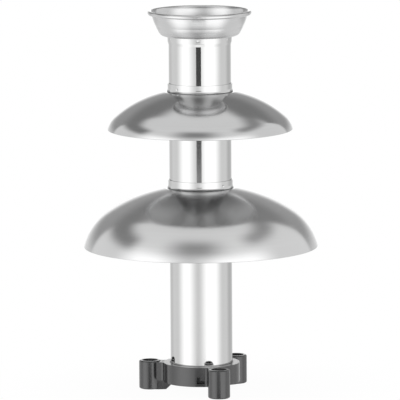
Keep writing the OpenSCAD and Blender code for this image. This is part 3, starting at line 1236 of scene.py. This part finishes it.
@dataclass
class FootRing:
    """The plastic ring under the column, with arms and peg sockets.

    The parts of an arm are made along +X, and a socket or hole on the axis, then moved.
    """

    ring_r: float = 37.2
    bore_r: float = 29.0
    bore_edge: float = 0.4
    slip_r: float = 30.3
    foot: float = 8.4
    top: float = 27.4
    ledge: float = 18.4
    edge: float = 0.8
    edge_share: float = 0.25
    round_w: float = 0.3
    socket_ring_r: float = 51.3
    socket_r: float = 10.7
    socket_bore_r: float = 7.5
    socket_top: float = 27.9
    socket_edge: float = 1.6
    arm_r: float = 49.3
    web_w: float = 14.8
    web_root_w: float = 2.0
    web_sink: float = 0.4
    web_lift: float = 0.5
    toe_w: float = 7.0
    rib_inset: float = 0.2
    rib_full_r: float = 41.2
    rib_root: float = 1.0
    rib_lift: float = 0.05
    toe_r: float = 30.2
    toe_cut: float = 4.2
    core_hole_r: float = 1.8
    core_hole_depth: float = 2.4
    core_hole_out: float = 1.0
    recess_w: float = 7.4
    recess_h: float = 6.4
    recess_leg: float = 3.0
    recess_depth: float = 5.0
    recess_sink: float = 0.5
    recess_turn: float = 20.6
    clear: float = 1.0
    facet_turn: float = 1.3
    corner_cuts: int = 6
    ring_segments: int = 144
    socket_segments: int = 72
    hole_segments: int = 64
    directions: tuple[float, ...] = (-71.0, 49.0, 169.0)

    def ring(self) -> bpy.types.Object:
        """Turns the plain ring with its ledge and lead-in.

        Returns:
            The ring's mesh.
        """
        e, foot, top = self.edge, self.foot, self.top
        c = self.edge_share * e
        return spin("foot_ring", [
            (self.bore_r, foot + self.bore_edge), (self.bore_r + self.bore_edge, foot),
            (self.ring_r - e, foot), (self.ring_r - c, foot + c), (self.ring_r, foot + e),
            (self.ring_r, top - e), (self.ring_r - c, top - c), (self.ring_r - e, top),
            (self.slip_r + e, top), (self.slip_r, top - e), (self.slip_r, self.ledge),
            (self.bore_r, self.ledge),
        ], self.ring_segments)

    def web(self) -> bpy.types.Object:
        """One arm, with hollow corners where it meets the ring.

        Returns:
            The arm's mesh.
        """
        half = self.web_w / 2.0
        root_half = half + self.web_root_w
        root_r = math.sqrt(self.ring_r ** 2 - root_half ** 2)
        neck_r = self.ring_r + self.web_root_w
        side = [((self.slip_r + self.ring_r) / 2.0, root_half)]
        for k in range(self.corner_cuts + 1):
            turn = polar(90.0 * k / self.corner_cuts)
            side.append((neck_r - (neck_r - root_r) * turn.x, root_half - self.web_root_w * turn.y))
        side.append((self.arm_r, half))
        loop = side + [(x, -y) for x, y in reversed(side)]
        return prism(loop, self.foot + self.web_lift, self.top - self.web_sink)

    def rib(self) -> bpy.types.Object:
        """The foot rib under an arm, narrowing to a slanted toe under the ring.

        Returns:
            The rib's mesh.
        """
        low, top = self.rib_lift, self.foot + self.rib_root
        loop = [
            (self.toe_r + self.toe_cut, low), (self.rib_full_r, low), (self.arm_r, low),
            (self.arm_r, top), (self.rib_full_r, top), (self.toe_r, top),
            (self.toe_r, self.toe_cut),
        ]
        full_half = self.web_w / 2.0 - self.rib_inset
        taper = (full_half - self.toe_w / 2.0) / (self.rib_full_r - self.toe_r)
        vertices = []
        for side in (-1.0, 1.0):
            for r, z in loop:
                half = min(self.toe_w / 2.0 + taper * (r - self.toe_r), full_half)
                vertices.append((r * MM, side * half * MM, z * MM))
        count = len(loop)
        flats = ((0, 1, 4, 5, 6), (1, 2, 3, 4))
        sides = [tuple(n + shift for n in flat) for flat in flats for shift in (0, count)]
        return mesh_object("tool", vertices, sides + ring_faces(2, count))

    def socket(self) -> bpy.types.Object:
        """One peg socket, without its bore.

        Returns:
            The socket's mesh.
        """
        r, e, top, cuts = self.socket_r, self.socket_edge, self.socket_top, self.corner_cuts
        angles = [k * math.pi / (2.0 * cuts) for k in range(cuts + 1)]
        rounds = [(r - e + e * math.sin(a), e - e * math.cos(a)) for a in angles]
        outline = [(0.0, 0.0)] + rounds + [(x, top - z) for x, z in reversed(rounds)]
        return spin("tool", outline + [(0.0, top)], self.socket_segments)

    def at(self, direction: float, radius: float) -> Matrix:
        """Move to a place round the ring, with a small turn that keeps facets off the arms' faces.

        Args:
            direction: its direction, in degrees from +X.
            radius: its distance from the axis, in millimetres.

        Returns:
            The move.
        """
        out = polar(direction) * radius * MM
        turn = about_axis(direction + self.facet_turn)
        return Matrix.Translation((out.x, out.y, 0.0)) @ turn

    def recess(self) -> bpy.types.Object:
        """The L-shaped recess, lying down.

        Returns:
            The cutting tool.
        """
        half, leg = self.recess_w / 2.0, self.recess_leg
        high = self.ledge - self.recess_sink
        foot = high - self.recess_h
        loop = [
            (-half, foot), (half, foot), (half, foot + leg),
            (-half + leg, foot + leg), (-half + leg, high), (-half, high),
        ]
        return prism(loop, self.ring_r - self.recess_depth, self.ring_r + self.recess_depth)

    def rod(self, radius: float, low: float, high: float) -> bpy.types.Object:
        """A round cutting tool between two heights."""
        angles = [360.0 * k / self.hole_segments for k in range(self.hole_segments)]
        return prism([tuple(radius * polar(angle)) for angle in angles], low, high)

    def build(self, shop: Workshop) -> None:
        """Builds and places the ring.

        Args:
            shop: places the piece.
        """
        solid = Solid(self.ring())
        for direction in self.directions:
            turn = about_axis(direction)
            solid.join(self.web(), turn)
            solid.join(self.rib(), turn)
            solid.join(self.socket(), self.at(direction, self.socket_ring_r))
        hole_foot, clear, bore_r = self.top - self.core_hole_depth, self.clear, self.socket_bore_r
        stand = Matrix(((0, 0, 1, 0), (1, 0, 0, 0), (0, 1, 0, 0), (0, 0, 0, 1)))
        holes = []
        for direction in self.directions:
            spot = self.at(direction, self.socket_ring_r)
            root = self.at(direction, self.ring_r + self.core_hole_out)
            solid.cut(self.rod(bore_r, -clear, self.socket_top + clear), spot)
            solid.cut(self.rod(self.core_hole_r, hole_foot, self.top + clear), root)
            solid.cut(self.recess(), about_axis(direction - self.recess_turn) @ stand)
            holes.append((spot.translation.x / MM, spot.translation.y / MM, bore_r))
        # The socket bores take the plastic's rougher finish and painted shade
        plastic = MouldedPlastic(holes=tuple(holes))
        ring = solid.finish(self.round_w)
        shop.place(ring, Slot.BLACK_PLASTIC, Body.BASE, "base_ring", finish=plastic)


def fade(inside: float, soft: float) -> float:
    """A smooth step from 0 at the border to 1 at a distance inside it."""
    t = min(max(inside / soft, 0.0), 1.0)
    return t * t * (3.0 - 2.0 * t)


@dataclass(frozen=True)
class Panel:
    """A lighter or darker stretch of the light tent, by direction from the object."""

    azimuth: Point
    elevation: Point
    level: float
    soft: Point

    def mask(self, azimuth: float, elevation: float) -> float:
        """How much of the panel lies in a direction.

        Args:
            azimuth: degrees from the camera's side, to the right.
            elevation: degrees above the table.

        Returns:
            0 outside to 1 inside.
        """
        low, high = self.azimuth
        middle, half = (low + high) / 2.0, (high - low) / 2.0
        away = abs((azimuth - middle + 180.0) % 360.0 - 180.0)
        across = fade(half - away, self.soft[0])
        low, high = self.elevation
        upward = fade(min(elevation - low, high - elevation), self.soft[1])
        return across * upward


@dataclass(frozen=True)
class Flag:
    """A dark card before the object, by its distance, its ends across and its heights."""

    distance: float
    across: Point
    upward: Point


def staged(name: str, vertices: Sequence, faces: Sequence,
           material: bpy.types.Material) -> bpy.types.Object:
    """Makes a piece of the stage.

    Args:
        name: name of the object.
        vertices: points in metres.
        faces: vertex numbers of each face.
        material: its material.

    Returns:
        The new object, in the scene.
    """
    mesh = bpy.data.meshes.new(name)
    mesh.from_pydata(vertices, [], faces)
    mesh.materials.append(material)
    piece = linked(name, mesh)
    return piece


@dataclass
class Studio:
    """The stage: a pale floor, a light tent, dark cards before the object, and the camera."""

    tent_radius: float = 9.0
    tent_level: float = 0.97
    tent_columns: int = 240
    tent_rows: int = 120
    backdrop_light: float = 0.9
    paper: float = 0.9
    floor_size: float = 14.0
    floor_glow: Point = (0.965, 1.0)
    floor_fade: Point = (0.06, 0.25)
    distance: float = 5.4
    elevation: float = 7.95
    target: Triple = (-0.00063, 0.0, 0.1865)
    span: float = 0.3884
    roll: float = 0.35
    sight: float = 50.0
    panels: tuple[Panel, ...] = (
        Panel((-100.0, -10.0), (-80.0, 42.0), 1.75, (40.0, 22.0)),
        Panel((-12.0, 88.0), (-80.0, 42.0), 1.75, (38.0, 22.0)),
        Panel((-58.0, 44.0), (24.0, 70.0), 0.33, (46.0, 20.0)),
        Panel((50.0, 200.0), (38.0, 65.5), 0.39, (30.0, 13.0)),
        Panel((-160.0, -72.0), (23.0, 54.0), 0.29, (22.0, 12.0)),
        Panel((133.0, 227.0), (-6.0, 62.0), 0.42, (6.0, 22.0)),
        Panel((133.0, 227.0), (24.0, 67.0), 0.28, (6.0, 16.0)),
        Panel((105.0, 172.0), (-22.0, 3.0), 0.68, (25.0, 8.0)),
        Panel((-172.0, -120.0), (-22.0, 3.0), 0.78, (20.0, 8.0)),
        Panel((164.0, 196.0), (-6.0, 22.0), 1.45, (14.0, 12.0)),
        Panel((-34.0, 30.0), (-75.0, -20.0), 1.4, (22.0, 10.0)),
        Panel((-200.0, 200.0), (-200.0, -42.0), 0.36, (10.0, 20.0)),
    )
    flags: tuple[Flag, ...] = (
        Flag(4.0, (-1.0, 0.313), (-0.36, 0.3)),
        Flag(1.2, (-0.42, 0.34), (-0.34, -0.186)),
    )
    flag_level: float = 0.09

    def level(self, azimuth: float, elevation: float) -> float:
        """Brightness of the tent in a direction.

        Args:
            azimuth: degrees from the camera's side, to the right.
            elevation: degrees above the table.

        Returns:
            Its brightness, where 1 is white.
        """
        level = self.tent_level
        for panel in self.panels:
            level += (panel.level - level) * panel.mask(azimuth, elevation)
        return level

    def tent(self) -> None:
        """Builds the tent, which lights the object and shows in its reflections."""
        vertices, levels = [], []
        columns, rows = self.tent_columns, self.tent_rows
        for row in range(rows + 1):
            elevation = -90.0 + 180.0 * row / rows
            for column in range(columns):
                azimuth = -180.0 + 360.0 * column / columns
                flat, rise = polar(elevation) * self.tent_radius
                side = polar(azimuth - 90.0) * flat
                vertices.append((side.x, side.y, rise))
                levels.append(self.level(azimuth, elevation))
        material, graph = new_material("tent_cloth")
        shade = graph.node("ShaderNodeAttribute", {"attribute_name": "level"}).outputs["Color"]
        graph.output(graph.shader("ShaderNodeEmission", {"Color": shade}))
        tent = staged("light_tent", vertices, ring_faces(rows + 1, columns), material)
        shades = tent.data.attributes.new("level", "FLOAT", "POINT")
        shades.data.foreach_set("value", levels)
        tent.visible_camera = False
        tent.visible_shadow = False

    def hang_flags(self) -> None:
        """Hangs dark cards before the object, as the gap between two softboxes shows."""
        material, graph = new_material("flag_cloth")
        graph.output(graph.shader("ShaderNodeEmission", {"Color": grey(self.flag_level)}))
        for k, card in enumerate(self.flags):
            (left, right), (low, high) = card.across, card.upward
            ends = ((left, low), (right, low), (right, high), (left, high))
            corners = [(x, -card.distance, z) for x, z in ends]
            flag = staged(f"flag_{k}", corners, [(0, 1, 2, 3)], material)
            flag.visible_camera = False
            flag.visible_diffuse = False
            flag.visible_shadow = False

    def floor(self) -> None:
        """Builds the floor, white to the camera but for the object's shadow."""
        half = self.floor_size / 2.0
        corners = [(-half, -half, 0.0), (half, -half, 0.0), (half, half, 0.0), (-half, half, 0.0)]
        material, graph = new_material("floor_paper")
        paper = graph.shader("ShaderNodeBsdfDiffuse", {"Color": grey(self.paper)})
        glow = graph.shader("ShaderNodeEmission", {"Color": grey(1.0)})
        _, across, deep, _ = graph.place()
        near, far = self.floor_glow
        open_floor = from_axis(across, deep).ramp(*self.floor_fade)
        share = graph.ray("Camera") * (near + (far - near) * open_floor)
        graph.output(graph.shader("ShaderNodeMixShader", {0: share, 1: paper, 2: glow}))
        floor = staged("floor", corners, [(0, 1, 2, 3)], material)
        floor.visible_glossy = False

    def world(self) -> None:
        """Sets a white backdrop."""
        world = bpy.data.worlds.new("backdrop")
        world.use_nodes = True
        bpy.context.scene.world = world
        graph = Graph(world.node_tree)
        seen = graph.ray("Camera") + graph.ray("Glossy") + graph.ray("Transmission")
        shown = graph.shader("ShaderNodeBackground", {"Color": grey(1.0)})
        lit = graph.shader("ShaderNodeBackground", {"Color": grey(self.backdrop_light)})
        mix = graph.shader("ShaderNodeMixShader", {0: seen, 1: lit, 2: shown})
        graph.output(mix, "ShaderNodeOutputWorld")

    def camera(self) -> None:
        """Places the camera at the photograph's viewing angle."""
        data = bpy.data.cameras.new("camera")
        data.sensor_fit = "HORIZONTAL"
        data.angle = 2.0 * math.atan(self.span / 2.0 / self.distance)
        data.clip_end = self.sight
        camera = linked("camera", data)
        rise = math.radians(self.elevation)
        target = Vector(self.target)
        camera.location = target + self.distance * Vector((0.0, -math.cos(rise), math.sin(rise)))
        aim = (target - camera.location).to_track_quat("-Z", "Y").to_matrix().to_4x4()
        tilt = about_axis(-self.roll)
        camera.matrix_world = Matrix.Translation(camera.location) @ aim @ tilt
        bpy.context.scene.camera = camera

    def build(self) -> None:
        """Builds the stage."""
        bpy.context.scene.view_settings.view_transform = "Standard"
        self.world()
        self.floor()
        self.tent()
        self.hang_flags()
        self.camera()
        LOG.info("stage: floor, light tent, cards and camera")


def assemblies() -> Iterable[Union[FootRing, Column, Tier, Collars, Crown, Auger]]:
    """Lists the tower's sub-assemblies.

    Returns:
        The sub-assemblies, in the order they are built.
    """
    yield FootRing()
    yield Column()
    yield Auger()
    satin = SpunSteel("satin_steel", (0.59, 0.59, 0.59), (0.65, 0.652, 0.655), 0.17)
    yield Tier(
        "lower_dome", Body.LOWER_TIER, "lower_tier", seat=199.2, diameter=227.0, height=57.5,
        seat_slope=12.0, flank_slope=35.0, finish=satin,
    )
    yield Tier(
        "upper_dome", Body.UPPER_TIER, "upper_tier", seat=293.2, diameter=179.4, height=37.0,
        seat_slope=14.0, flank_slope=42.0,
    )
    yield Collars()
    yield Crown()


def main() -> None:
    """Builds the tower and its stage."""
    logging.basicConfig(level=logging.INFO, format="%(message)s")
    shop = Workshop()
    for assembly in assemblies():
        assembly.build(shop)
    Studio().build()


if __name__ == "__main__":
    main()
